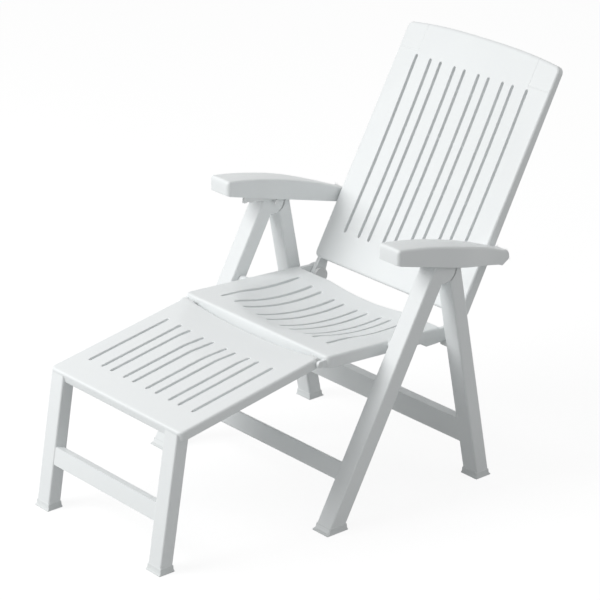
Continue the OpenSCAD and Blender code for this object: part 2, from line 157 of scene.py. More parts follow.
def add_node(tree: bpy.types.NodeTree, kind: str, settings: dict[str, object] | None = None,
             links: dict[str, bpy.types.NodeSocket] | None = None) -> bpy.types.Node:
    """Adds a node with its settings and links.

    Args:
        tree: The tree that gets the node.
        kind: Its Blender type name.
        settings: Values of its properties, or of its inputs by name.
        links: Output sockets that feed its inputs, by input name.

    Returns:
        The new node.
    """
    node = tree.nodes.new(kind)
    for name, value in (settings or {}).items():
        if hasattr(node, name):
            setattr(node, name, value)
        else:
            node.inputs[name].default_value = value
    for name, socket in (links or {}).items():
        tree.links.new(socket, node.inputs[name])
    return node


def linear(hex_colour: str) -> tuple[float, float, float, float]:
    """Turns an sRGB hex colour into linear RGBA."""
    parts = [int(hex_colour[i:i + 2], 16) / 255 for i in (1, 3, 5)]
    return tuple(c / 12.92 if c <= 0.04045 else ((c + 0.055) / 1.055) ** 2.4 for c in parts) + (1.0,)


@dataclass(frozen=True)
class MouldedResin:
    """A moulded polypropylene finish: soft even gloss over a fine spark-eroded grain."""

    name: str
    colour: str
    shade: str
    roughness: float
    grain_mm: float = 1.1
    grain_depth_mm: float = 0.02
    grain_strength: float = 0.35
    cloud_mm: float = 90.0
    spread: float = 0.05
    ior: float = 1.49

    def build(self) -> bpy.types.Material:
        """Builds the material.

        Returns:
            The material, with its grain, its faint clouding and its uneven gloss.
        """
        material = bpy.data.materials.new(self.name)
        material.use_nodes = True
        tree = material.node_tree
        tree.nodes.clear()
        place = add_node(tree, "ShaderNodeTexCoord").outputs["Object"]
        # The real grain is far finer than this: it is drawn as coarse as it needs to show
        grain = add_node(tree, "ShaderNodeTexNoise", {"Scale": 1 / (self.grain_mm * MM), "Detail": 3.0},
                         {"Vector": place})
        cloud = add_node(tree, "ShaderNodeTexNoise", {"Scale": 1 / (self.cloud_mm * MM), "Detail": 4.0},
                         {"Vector": place})
        tint = add_node(tree, "ShaderNodeMix", {"data_type": "RGBA"})
        tint.inputs[6].default_value = linear(self.colour)
        tint.inputs[7].default_value = linear(self.shade)
        tree.links.new(cloud.outputs["Fac"], tint.inputs[0])
        gloss = add_node(tree, "ShaderNodeMapRange",
                         {"To Min": self.roughness - self.spread, "To Max": self.roughness + self.spread},
                         {"Value": cloud.outputs["Fac"]})
        bump = add_node(tree, "ShaderNodeBump",
                        {"Strength": self.grain_strength, "Distance": self.grain_depth_mm * MM},
                        {"Height": grain.outputs["Fac"]})
        shader = add_node(tree, "ShaderNodeBsdfPrincipled", {"IOR": self.ior},
                          {"Base Color": tint.outputs[2], "Roughness": gloss.outputs["Result"],
                           "Normal": bump.outputs["Normal"]})
        add_node(tree, "ShaderNodeOutputMaterial", {}, {"Surface": shader.outputs["BSDF"]})
        return material


@dataclass(frozen=True)
class Slots:
    """The slots through a slatted top: pairs of narrow slats between wide ones."""

    front: float
    rear: float
    width: float = 8.4
    wide_pitch: float = 48.0
    narrow_pitch: float = 34.0
    pairs: int = 2
    flange: float = 14.0
    least_flange: float = 1.0

    @property
    def centres(self) -> list[float]:
        """Places of the slots across the part.

        Returns:
            The places in order, the same on both sides of the middle.
        """
        out = []
        for i in range(2 * self.pairs + 1):
            at = self.wide_pitch / 2 + math.ceil(i / 2) * self.narrow_pitch + (i // 2) * self.wide_pitch
            out += [-at, at]
        return sorted(out)

    def marks_across(self) -> list[float]:
        """Places across the part where the mesh needs a line for the slots' round ends.

        Returns:
            The places, in no order.
        """
        half = self.width / 2
        offsets = [half * math.sin(math.radians(a)) for a in range(-90, 91, 30)]
        return [c + o for c in self.centres for o in offsets + [-half - 4, half + 4]]

    def marks_along(self) -> list[float]:
        """Places along the part where the mesh needs a line for the slots' ends."""
        return [self.front - 6, self.front, self.front + 7, self.rear - 7, self.rear, self.rear + 6]

    def offset(self, x: float) -> float | None:
        """Distance from the middle of the slot that holds x, or None where x is in a slat."""
        near = min(self.centres, key=lambda c: abs(c - x))
        return x - near if abs(x - near) <= self.width / 2 + 0.01 else None

    def holds(self, x: float, y: float) -> bool:
        """Tells whether a place lies in a slot."""
        return self.offset(x) is not None and self.front < y < self.rear

    def rounded(self, x: float, y: float) -> float:
        """Moves a place on a slot's end line onto its round end.

        Args:
            x: Place across.
            y: Place along.

        Returns:
            The new place along, or the old one where the place isn't on an end line.
        """
        off = self.offset(x)
        if off is None or not (abs(y - self.front) < 0.01 or abs(y - self.rear) < 0.01):
            return y
        half = self.width / 2
        bow = half - math.sqrt(max(0.0, half * half - off * off))
        return y + bow if abs(y - self.front) < 0.01 else y - bow


@dataclass
class Tray:
    """A thin moulded tray: a top with a rounded rim, skirts round it and, often, slots."""

    width: float
    length: float
    surface: Height
    bottom: Height
    place: Place
    wall: float = 4.0
    rim: float = 6.0
    front_corner: float = 14.0
    rear_corner: float = 14.0
    slots: Slots | None = None
    step: float = 14.0
    marks_across: Sequence[float] = ()
    marks_along: Sequence[float] = ()
    bend: Height | None = None
    bulge: float = 0.0
    bulge_from: float = 0.93
    bulge_power: float = 2.6
    even_wall: bool = True
    edge_radius: float = 1.1
    edge_angle: float = 72.0

    def insets(self, corner: float) -> list[float]:
        """Distances from an edge at which the rounded rim and corner need lines."""
        rim = [self.rim * (1 - math.sin(math.radians(a))) for a in (90, 67.5, 45, 22.5, 0)]
        return rim + [(self.rim + corner) / 2, corner]

    def flat(self, x: float, y: float) -> tuple[float, float, float]:
        """Rounds the outline's corners.

        Args:
            x: Place across, on the square grid.
            y: Place along, on the square grid.

        Returns:
            The place across, the place along and the distance from the outline.
        """
        near_side = self.width / 2 - abs(x)
        in_front = y < self.length / 2
        near_end, corner = (y, self.front_corner) if in_front else (self.length - y, self.rear_corner)
        inset = min(near_side, near_end)
        if near_side >= corner or near_end >= corner:
            return x, y, inset
        u, v = corner - near_side, corner - near_end
        reach = max(u, v)
        turn = math.pi / 4 * (v / u if u >= v else 2 - u / v) if reach > 0 else 0.0
        new_x = math.copysign(self.width / 2 - corner + reach * math.cos(turn), x)
        end = corner - reach * math.sin(turn)
        return new_x, end if in_front else self.length - end, inset

    def drop(self, inset: float, x: float, y: float) -> float:
        """Gives how far the rounded rim lies below the surface.

        Args:
            inset: Distance from the outline.
            x: Place across.
            y: Place along.

        Returns:
            The fall in millimetres, less than the full rounding where the skirt is shallow.
        """
        if inset >= self.rim:
            return 0.0
        full = self.rim - math.sqrt(self.rim ** 2 - (self.rim - inset) ** 2)
        return full * min(1.0, (self.surface(x, y) - self.bottom(x, y)) / (2 * self.rim))

    def build(self, name: str) -> bpy.types.Object:
        """Builds the tray as an object.

        Args:
            name: The object's name.

        Returns:
            The object, with its wall, its small edge radii and its soft shading as modifiers.
        """
        half = self.width / 2
        corner = max(self.front_corner, self.rear_corner)
        marks_x = [s * (half - i) for i in self.insets(corner) for s in (-1, 1)] + list(self.marks_across)
        marks_y = self.insets(self.front_corner) + [self.length - i for i in self.insets(self.rear_corner)]
        marks_y += list(self.marks_along)
        if self.slots:
            marks_x += self.slots.marks_across()
            marks_y += self.slots.marks_along()
        xs, ys = filled(marks_x, self.step), filled(marks_y, self.step)
        mesh = bmesh.new()
        grid: dict[tuple[int, int], bmesh.types.BMVert] = {}
        local: Flat = {}
        for i, x in enumerate(xs):
            for j, y in enumerate(ys):
                along = self.slots.rounded(x, y) if self.slots else y
                fx, fy, inset = self.flat(x, along)
                up = self.surface(fx, fy) - self.drop(inset, fx, fy)
                grid[i, j] = self.vertex(mesh, local, fx, fy, up)
        for i in range(len(xs) - 1):
            for j in range(len(ys) - 1):
                mid_x, mid_y = (xs[i] + xs[i + 1]) / 2, (ys[j] + ys[j + 1]) / 2
                if self.slots and self.slots.holds(mid_x, mid_y):
                    continue
                mesh.faces.new([grid[i, j], grid[i + 1, j], grid[i + 1, j + 1], grid[i, j + 1]])
        loose = [v for v in mesh.verts if not v.link_faces]
        for v in loose:
            local.pop(v)
        bmesh.ops.delete(mesh, geom=loose, context="VERTS")
        outer = [e for e in mesh.edges if e.is_boundary and self.on_outline(local, e)]
        inner = [e for e in mesh.edges if e.is_boundary and not self.on_outline(local, e)]
        self.skirt(mesh, local, outer, lambda x, y, z: self.bottom(x, y), 3)
        if self.slots:
            flange, least = self.slots.flange, self.slots.least_flange
            self.skirt(mesh, local, inner,
                       lambda x, y, z: max(z - flange, min(self.bottom(x, y) + 2, z - least)), 1)
        return self.finished(mesh, name)

    def vertex(self, mesh: bmesh.types.BMesh, local: Flat, x: float, y: float,
               up: float) -> bmesh.types.BMVert:
        """Adds a vertex and keeps its flat place.

        Args:
            mesh: The mesh that gets it.
            local: Flat place of each vertex, which gets this one's.
            x: Place across.
            y: Place along.
            up: Height.

        Returns:
            The vertex, bent and bulged as the tray is.
        """
        bent = self.bend(x, y) if self.bend else x
        start = self.bulge_from * self.length
        share = max(0.0, (y - start) / (self.length - start))
        rise = self.bulge * share * (1 - abs(2 * x / self.width) ** self.bulge_power)
        v = mesh.verts.new(self.place(bent, y + rise, up))
        local[v] = (x, y, up)
        return v

    def on_outline(self, local: Flat, edge: bmesh.types.BMEdge) -> bool:
        """Tells whether an open edge lies on the tray's outline and not round a slot.

        Args:
            local: Flat place of each vertex.
            edge: The open edge.

        Returns:
            True where no end of it lies in a slot.
        """
        for v in edge.verts:
            x, y, _ = local[v]
            if self.slots and self.slots.front - 1 <= y <= self.slots.rear + 1:
                if self.slots.offset(x) is not None:
                    return False
        return True

    def skirt(self, mesh: bmesh.types.BMesh, local: Flat, edges: list[bmesh.types.BMEdge],
              low: Callable[[float, float, float], float], rows: int) -> None:
        """Lets a wall hang from open edges.

        Args:
            mesh: The mesh that gets the wall.
            local: Flat place of each vertex.
            edges: The open edges.
            low: Height of the wall's lower edge at a flat place.
            rows: Rows of faces down the wall.
        """
        tops = {v for e in edges for v in e.verts}
        columns = {}
        for v in tops:
            x, y, z = local[v]
            foot = low(x, y, z)
            columns[v] = [v] + [self.vertex(mesh, local, x, y, z + (foot - z) * k / rows)
                                for k in range(1, rows + 1)]
        for edge in edges:
            loop = edge.link_loops[0]
            a, b = loop.vert, loop.link_loop_next.vert
            for k in range(rows):
                mesh.faces.new([columns[b][k], columns[a][k], columns[a][k + 1], columns[b][k + 1]])

    def finished(self, mesh: bmesh.types.BMesh, name: str) -> bpy.types.Object:
        """Turns the mesh into an object with a wall and small edge radii.

        Args:
            mesh: The finished surface, which is freed.
            name: The object's name.

        Returns:
            The object.
        """
        bmesh.ops.remove_doubles(mesh, verts=mesh.verts[:], dist=1e-6)
        bmesh.ops.recalc_face_normals(mesh, faces=mesh.faces[:])
        top = max(mesh.faces, key=lambda f: f.calc_area() if abs(f.normal.x) < 0.9 else 0)
        up = self.place(0, 0, 1) - self.place(0, 0, 0)
        if top.normal.dot(up) < 0:
            bmesh.ops.reverse_faces(mesh, faces=mesh.faces[:])
        piece = new_object(mesh, name)
        shell = piece.modifiers.new("wall", "SOLIDIFY")
        shell.thickness = self.wall * MM
        shell.offset = -1
        shell.use_even_offset = self.even_wall
        soften(piece, self.edge_radius, self.edge_angle)
        return piece


def new_object(mesh: bmesh.types.BMesh, name: str) -> bpy.types.Object:
    """Links a finished mesh into the scene as a smooth-shaded object.

    Args:
        mesh: The mesh, which is freed.
        name: The object's name.

    Returns:
        The object.
    """
    data = bpy.data.meshes.new(name)
    mesh.to_mesh(data)
    mesh.free()
    for polygon in data.polygons:
        polygon.use_smooth = True
    piece = bpy.data.objects.new(name, data)
    bpy.context.scene.collection.objects.link(piece)
    return piece


def soften(piece: bpy.types.Object, radius: float, degrees: float, segments: int = 2,
           clamp: bool = False) -> None:
    """Rounds a piece's sharp edges and evens its shading.

    Args:
        piece: The object.
        radius: Size of the rounding in millimetres.
        degrees: Least angle of an edge that is rounded.
        segments: Rows of faces across the rounding.
        clamp: Whether the rounding stays within the narrowest face.
    """
    bevel = piece.modifiers.new("edge_radius", "BEVEL")
    bevel.width = radius * MM
    bevel.segments = segments
    bevel.limit_method = "ANGLE"
    bevel.angle_limit = math.radians(degrees)
    bevel.use_clamp_overlap = clamp
    bevel.harden_normals = False
    even = piece.modifiers.new("even_shading", "WEIGHTED_NORMAL")
    even.keep_sharp = False
    even.weight = 60


def plate(name: str, outline: Sequence[Point], low_x: float, high_x: float,
          radius: float = 2.0) -> bpy.types.Object:
    """Makes a flat piece that stands in a side of the part.

    Args:
        name: The object's name.
        outline: Its outline as places front to back and up, in the source's millimetres.
        low_x: Where it starts across the part.
        high_x: Where it ends.
        radius: Size of its edge rounding.

    Returns:
        The object.
    """
    mesh = bmesh.new()
    weight = mesh.edges.layers.float.new("bevel_weight_edge")
    rings = [[mesh.verts.new(in_part(x, y, z)) for y, z in outline] for x in (low_x, high_x)]
    for ring in rings:
        for edge in mesh.faces.new(ring).edges:
            edge[weight] = 1.0
    count = len(outline)
    for k in range(count):
        mesh.faces.new([rings[0][k], rings[0][(k + 1) % count], rings[1][(k + 1) % count], rings[1][k]])
    bmesh.ops.recalc_face_normals(mesh, faces=mesh.faces[:])
    piece = new_object(mesh, name)
    soften(piece, radius, 50, 3)
    piece.modifiers["edge_radius"].limit_method = "WEIGHT"
    return piece


def bare(name: str, outline: Sequence[Point], low_x: float, high_x: float) -> bpy.types.Object:
    """Makes a flat piece like plate() does, but with sharp edges."""
    piece = plate(name, outline, low_x, high_x)
    piece.modifiers.clear()
    return piece


def arc(centre: Point, radius: float, start: float, end: float, count: int) -> list[Point]:
    """Gives points on an arc in a side of the part, from one angle to another in degrees."""
    turns = [math.radians(start + (end - start) * k / count) for k in range(count + 1)]
    return [(centre[0] + radius * math.cos(a), centre[1] + radius * math.sin(a)) for a in turns]


def ribs(name: str, tray: Tray, places: Sequence[float], depth: float,
         thickness: float = 4.0) -> bpy.types.Object:
    """Makes the cross ribs under a tray.

    Args:
        name: The object's name.
        tray: The tray they stand under.
        places: Their places along it.
        depth: How far below the tray's flat they reach.
        thickness: Their thickness.

    Returns:
        One object with all the ribs.
    """
    mesh = bmesh.new()
    half = tray.width / 2 - tray.wall / 2
    marks = tray.slots.marks_across() if tray.slots else []
    xs = filled([-half, half] + [m for m in marks if abs(m) < half], 20)
    for at in places:
        sections = []
        for x in xs:
            in_slot = tray.slots is not None and tray.slots.offset(x) is not None
            cover = tray.wall * 0.6 + (tray.slots.flange + 3 if in_slot else 0)
            surface = tray.surface(x, at)
            low = min(-depth, surface - tray.slots.least_flange - 3) if tray.slots else -depth
            top = max(surface - cover, low + 1.5)
            corners = [(at - thickness / 2, top), (at + thickness / 2, top),
                       (at + thickness / 2, low), (at - thickness / 2, low)]
            sections.append([mesh.verts.new(tray.place(x, y, z)) for y, z in corners])
        for one, two in zip(sections, sections[1:]):
            for k in range(4):
                mesh.faces.new([one[k], one[(k + 1) % 4], two[(k + 1) % 4], two[k]])
        mesh.faces.new(sections[0])
        mesh.faces.new(sections[-1])
    bmesh.ops.recalc_face_normals(mesh, faces=mesh.faces[:])
    piece = new_object(mesh, name)
    soften(piece, 0.6, 50, 1)
    return piece


def carve(piece: bpy.types.Object, cutters: Sequence[bpy.types.Object]) -> None:
    """Cuts shapes out of a piece and keeps the result as its mesh.

    Args:
        piece: The object that is cut.
        cutters: The shapes that come out of it; they are deleted.
    """
    for cutter in cutters:
        cut = piece.modifiers.new("cut", "BOOLEAN")
        cut.operation = "DIFFERENCE"
        cut.solver = "EXACT"
        cut.object = cutter
    graph = bpy.context.evaluated_depsgraph_get()
    old, data = piece.data, bpy.data.meshes.new_from_object(piece.evaluated_get(graph))
    piece.modifiers.clear()
    piece.data = data
    bpy.data.meshes.remove(old)
    for cutter in cutters:
        shape = cutter.data
        bpy.data.objects.remove(cutter)
        bpy.data.meshes.remove(shape)
    for polygon in data.polygons:
        polygon.use_smooth = True
    data.set_sharp_from_angle(angle=math.radians(42))
    even = piece.modifiers.new("even_shading", "WEIGHTED_NORMAL")
    even.keep_sharp = True
    even.weight = 60


def drill(piece: bpy.types.Object, centre: Point, radius: float) -> None:
    """Cuts a round hole across the part through a piece, for its pin."""
    carve(piece, [bare("drill", arc(centre, radius, 0, 350, 35), -360.0, 360.0)])


def dress(piece: bpy.types.Object, finish: bpy.types.Material) -> None:
    """Gives a piece one finish all over."""
    piece.data.materials.clear()
    piece.data.materials.append(finish)


@dataclass
class Seat:
    """The dished seat with its slots, its rear ears and the eyes that carry the footrest."""

    resin: bpy.types.Material
    width: float = 514.0
    length: float = 346.0
    front: Point = (-105.0, 400.0)
    slope: float = 3.4
    depth: float = 29.0
    dish: float = 26.0
    dish_radius: float = 640.0
    dish_behind: float = 30.0
    side_rim: float = 42.0
    hinge: Point = (290.0, 350.0)
    ear_radius: float = 27.0
    ear_thickness: float = 12.0
    peg_top: float = 342.3
    peg_y: float = 256.5
    pivot: Point = (82.0, 378.0)
    pivot_radius: float = 11.0
    pin_hole: float = 6.05
    eye: Point = (-119.0, 382.47)
    eye_radius: float = 8.0
    eye_rear: float = -97.0
    eye_hole: float = 5.05

    def surface(self, x: float, y: float) -> float:
        """Gives the height of the seat's top: a dish turned about an axis across the seat, eased at its rim.

        Args:
            x: Place across.
            y: Place along.

        Returns:
            The height, 0 at the rim.
        """
        across = (self.width / 2 - self.side_rim) ** 2 / 2 / self.dish
        radius = self.dish_radius - across + math.sqrt(max(across ** 2 - x * x, 0))
        along = y - self.length / 2 - self.dish_behind
        low = self.dish_radius - self.dish - math.sqrt(max(radius ** 2 - along ** 2, 0))
        return eased(low, 2.5, 12)

    def build(self) -> list[bpy.types.Object]:
        """Builds the seat.

        Returns:
            Its moulding, ribs, ears, bosses and eyes.
        """
        slots = Slots(56, self.length - 48, least_flange=8.0)
        tray = Tray(self.width, self.length, self.surface, lambda x, y: -self.depth,
                    tilted(*self.front, -self.slope), slots=slots)
        top = tray.build("seat_moulding")
        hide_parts("seat")
        rib_places = [self.length * k / 4 for k in (1, 2, 3)]
        pieces = [top, ribs("seat_ribs", tray, rib_places, self.depth - 3)]
        for side in Side:
            pieces += self.side_pieces(side)
        for piece in pieces:
            dress(piece, self.resin)
            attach(piece, "seat")
        return pieces

    def side_pieces(self, side: Side) -> list[bpy.types.Object]:
        """Builds what stands at one side of the seat.

        Args:
            side: The side.

        Returns:
            The ear, the boss of the pivot and the eye for the footrest's pin.
        """
        s = side.value
        rear = self.front[0] + self.length * math.cos(math.radians(self.slope))
        rim = self.front[1] - self.length * math.sin(math.radians(self.slope))
        flat = self.peg_top
        ear = [(rear - 60, rim - 8), (rear - 60, flat + 9), (rear - 45, flat), (self.peg_y + 8, flat),
               (self.peg_y + 11, flat - 7)]
        ear += arc(self.hinge, self.ear_radius, -100, 115, 20)
        ear += [(rear + 4, rim - 3), (rear - 14, rim - 2)]
        half = self.width / 2
        xs = sorted((s * (half - self.ear_thickness), s * (half - 0.3)))
        pieces = [plate(f"seat_ear_{side.label}", ear, xs[0], xs[1], 3.0)]
        boss = arc(self.pivot, self.pivot_radius, 0, 345, 23)
        xs = sorted((s * (half - 20), s * (half + 18.4)))
        pieces.append(plate(f"seat_boss_{side.label}", boss, xs[0], xs[1], 1.2))
        eye = arc(self.eye, self.eye_radius, 90, 270, 16)
        eye += [(self.eye_rear, self.eye[1] + k * self.eye_radius) for k in (-1, 1)]
        xs = sorted((s * 241.5, s * 250.0))
        pieces.append(plate(f"footrest_eye_{side.label}", eye, xs[0], xs[1], 1.2))
        drill(pieces[0], self.hinge, self.pin_hole)
        drill(pieces[1], self.pivot, self.pin_hole)
        drill(pieces[2], self.eye, self.eye_hole)
        return pieces


@dataclass
class Back:
    """The slatted back with its head rail's joint lines, its ribs, its lugs and its armrest bosses."""

    resin: bpy.types.Material
    width: float = 514.0
    length: float = 616.0
    toe: Point = (294.0, 394.0)
    lean: float = 29.6
    depth: float = 28.0
    dish: float = 8.0
    hinge: Point = (290.0, 350.0)
    arm_pin: Point = (394.0, 525.0)
    boss_radius: float = 12.0
    pin_hole: float = 6.05
    lug_radius: float = 20.0
    lug_thickness: float = 12.0
    depth_at_top: float = 17.0
    bulge: float = 14.0
    line_at: float = 188.0
    head: float = 72.0
    line_depth: float = 1.2

    @property
    def seam(self) -> float:
        """Place along the back of the joint lines that run across it."""
        return self.length - self.head + 9

    def surface(self, x: float, y: float) -> float:
        """Gives the height of the back's face: a shallow hollow, with the head rail's joint lines cut in.

        Args:
            x: Place across.
            y: Place along.

        Returns:
            The height, 0 at the rim.
        """
        half = self.length / 2
        along_r = half * half / 2 / self.dish
        across_r = (self.width / 2) ** 2 / 2 / self.dish
        radius = along_r - across_r + math.sqrt(across_r ** 2 - x * x)
        low = along_r - self.dish - math.sqrt(radius ** 2 - (y - half) ** 2)
        near = 0.3
        along_line = abs(abs(x) - self.line_at) < near and y >= self.seam - near
        across_line = abs(y - self.seam) < near and abs(x) > self.line_at - near
        return min(low, 0.0) - (self.line_depth if along_line or across_line else 0.0)

    def build(self) -> list[bpy.types.Object]:
        """Builds the back.

        Returns:
            Its moulding, ribs, lugs and bosses.
        """
        fall = (self.depth - self.depth_at_top) / self.length
        tray = Tray(self.width, self.length, self.surface, lambda x, y: fall * y - self.depth,
                    tilted(*self.toe, 90 - self.lean), slots=Slots(79, self.length - 72),
                    marks_across=[s * (self.line_at + d) for s in (-1, 1) for d in (-1.6, 0, 1.6)],
                    marks_along=[self.seam + d for d in (-1.6, 0, 1.6)], bulge=self.bulge)
        face = tray.build("back_moulding")
        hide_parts("back")
        rib_places = [self.length * k / 5 for k in range(1, 5)]
        pieces = [face, ribs("back_ribs", tray, rib_places, self.depth_at_top - 2)]
        for side in Side:
            pieces += self.side_pieces(side)
        for piece in pieces:
            dress(piece, self.resin)
            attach(piece, "back")
        return pieces

    def side_pieces(self, side: Side) -> list[bpy.types.Object]:
        """Builds what stands at one side of the back.

        Args:
            side: The side.

        Returns:
            The lug of the hinge and the boss of the armrest's pin.
        """
        s = side.value
        lean = math.radians(self.lean)
        up, deep = (math.sin(lean), math.cos(lean)), (math.cos(lean), -math.sin(lean))
        ty, tz = self.toe

        def at(along: float, down: float) -> Point:
            """Gives a place by its distance along the back and behind its face."""
            return ty + along * up[0] + down * deep[0], tz + along * up[1] + down * deep[1]

        turn = math.degrees(math.atan2(deep[1], deep[0]))
        lug = [at(14, 3), at(14, self.depth - 2)]
        lug += arc(self.hinge, self.lug_radius, turn, turn - 180, 16)
        outer = self.width / 2 - self.lug_thickness - 0.5
        xs = sorted((s * (outer - self.lug_thickness), s * outer))
        pieces = [plate(f"back_lug_{side.label}", lug, xs[0], xs[1], 2.0)]
        boss = arc(self.arm_pin, self.boss_radius, 0, 345, 23)
        xs = sorted((s * (self.width / 2 - 20), s * (self.width / 2 - 2)))
        pieces.append(plate(f"back_boss_{side.label}", boss, xs[0], xs[1], 1.2))
        drill(pieces[0], self.hinge, self.pin_hole)
        drill(pieces[1], self.arm_pin, self.pin_hole)
        return pieces


@dataclass
class Armrest:
    """One channel armrest: crowned, soft-nosed and narrowing to its pivot."""

    resin: bpy.types.Material
    side: Side
    inner: float = 262.5
    width: float = 71.5
    rear_width: float = 37.5
    front: Point = (34.0, 640.0)
    face: float = 38.0
    crown: float = 14.0
    across_crown: float = 1.5
    pin: Point = (394.0, 525.0)
    end_radius: float = 18.0
    nose: float = 8.0
    taper_from: float = 206.0
    cut_before: float = 6.0
    tip_low: float = 5.0

    @property
    def run(self) -> float:
        """Distance from the armrest's front to its pin."""
        return self.pin[0] - self.front[0]

    @property
    def length(self) -> float:
        """Length of the armrest up to the round of its rear end."""
        return self.pin[0] + self.end_radius - 1.2 - self.front[0]

    def top(self, x: float, y: float) -> float:
        """Gives the height of the armrest's top.

        Args:
            x: Place across.
            y: Place along.

        Returns:
            The height above the floor.
        """
        t = y / self.run
        rear_top = self.pin[1] + self.end_radius
        if t >= 1:
            past = y - self.run
            return self.pin[1] + math.sqrt(max(self.end_radius ** 2 - past ** 2, 0))
        height = self.front[1] + t * (rear_top - self.front[1]) + 4 * self.crown * t * (1 - t)
        if y < self.nose:
            height -= self.nose - math.sqrt(self.nose ** 2 - (self.nose - y) ** 2)
        return height - self.across_crown * (2 * x / self.width) ** 2

    def bottom(self, x: float, y: float) -> float:
        """Gives the height of the skirts' lower edge, cut off below the pin at the rear tip.

        Args:
            x: Place across, which it doesn't depend on.
            y: Place along.

        Returns:
            The height above the floor.
        """
        past = y - self.run
        low_front, low_rear = self.front[1] - self.face, self.pin[1] - self.end_radius
        if past < -self.cut_before:
            return low_front + y / self.run * (low_rear - low_front)
        low = self.pin[1] - math.sqrt(max(self.end_radius ** 2 - max(past, 0) ** 2, 0))
        share = (past + self.cut_before) / (self.length - self.run + self.cut_before)
        return max(low, low_rear + share * (self.end_radius - self.tip_low))

    def bend(self, x: float, y: float) -> float:
        """Gives the place across the part, with the outer side drawn in towards the pivot.

        Args:
            x: Place across the armrest.
            y: Place along it.

        Returns:
            The place across the part.
        """
        start = self.taper_from - self.front[0]
        t = min(max((y - start) / (self.pin[0] - self.taper_from), 0.0), 1.0)
        wide = self.width - (self.width - self.rear_width) * (3 * t * t - 2 * t ** 3)
        return self.side.value * (self.inner + (x / self.width + 0.5) * wide)

    def build(self) -> bpy.types.Object:
        """Builds the armrest.

        Returns:
            Its channel.
        """
        nose_marks = [1.2, 3.0, 5.2, 8.0]
        end_marks = [self.run + d for d in (-6, 0, 5, 9, 12, 14)]
        tray = Tray(self.width, self.length, self.top, self.bottom,
                    lambda x, y, z: in_part(x, self.front[0] + y, z), front_corner=10.0, rear_corner=6.0,
                    bend=self.bend, step=12.0, even_wall=False, wall=3.0,
                    marks_along=nose_marks + end_marks)
        name = self.side.label
        piece = tray.build(f"armrest_moulding_{name}")
        dress(piece, self.resin)
        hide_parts(f"armrest_{name}")
        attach(piece, f"armrest_{name}")
        return piece


@dataclass
class Footrest:
    """The slatted footrest, dipped where it meets the seat."""

    resin: bpy.types.Material
    width: float = 480.0
    front: Point = (-508.0, 327.0)
    slope: float = 10.0108
    length: float = 396.7
    depth: float = 23.0
    dip: float = 17.0
    dip_slope: float = 6.0
    dip_inset: float = 16.0

    def surface(self, x: float, y: float) -> float:
        """Gives the height of the footrest's top: flat, with a shallow trough that opens to the rear.

        Args:
            x: Place across.
            y: Place along.

        Returns:
            The height, 0 at the rim.
        """
        half = self.width / 2 - self.dip_inset
        radius = (half * half + self.dip ** 2) / 2 / self.dip
        low = -self.dip + (self.length - y) * math.tan(math.radians(self.dip_slope))
        low += radius - math.sqrt(radius ** 2 - x * x)
        return eased(low, 1.5, 8)

    def build(self) -> list[bpy.types.Object]:
        """Builds the footrest.

        Returns:
            Its moulding and its ribs.
        """
        tray = Tray(self.width, self.length, self.surface, lambda x, y: -self.depth,
                    tilted(*self.front, self.slope), slots=Slots(74, self.length - 90))
        top = tray.build("footrest_moulding")
        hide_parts("footrest_panel")
        rib_places = [self.length * k / 4 for k in (1, 2, 3)]
        pieces = [top, ribs("footrest_ribs", tray, rib_places, self.depth - 2)]
        for piece in pieces:
            dress(piece, self.resin)
            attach(piece, "footrest")
        return pieces


@dataclass
class Bar:
    """A straight leg seen from the side: a bar that leans away from its foot."""

    foot: float
    lean: float
    depth: float
    low: float
    high: float
    width: float
    sole: float = 5.0

    def edge(self, side: int, z: float) -> Point:
        """Gives a point on the bar's front (-1) or rear (1) edge at a height."""
        lean = math.radians(self.lean)
        return self.foot + side * self.depth / 2 / math.cos(lean) + z * math.tan(lean), z

    def spans(self, side: Side, low: float = 0.0, high: float = 1.0) -> Point:
        """Gives where a share of the leg's width lies across the part.

        Args:
            side: The leg's side.
            low: Where the share starts, from the inner face (0) to the outer one (1).
            high: Where it ends.

        Returns:
            The lower and the higher place across.
        """
        one = side.value * (self.low + low * self.width)
        two = side.value * (self.low + high * self.width)
        return min(one, two), max(one, two)

    def outline(self) -> list[Point]:
        """Gives the bar's four corners."""
        corners = ((-1, self.sole), (1, self.sole), (1, self.high), (-1, self.high))
        return [self.edge(side, z) for side, z in corners]


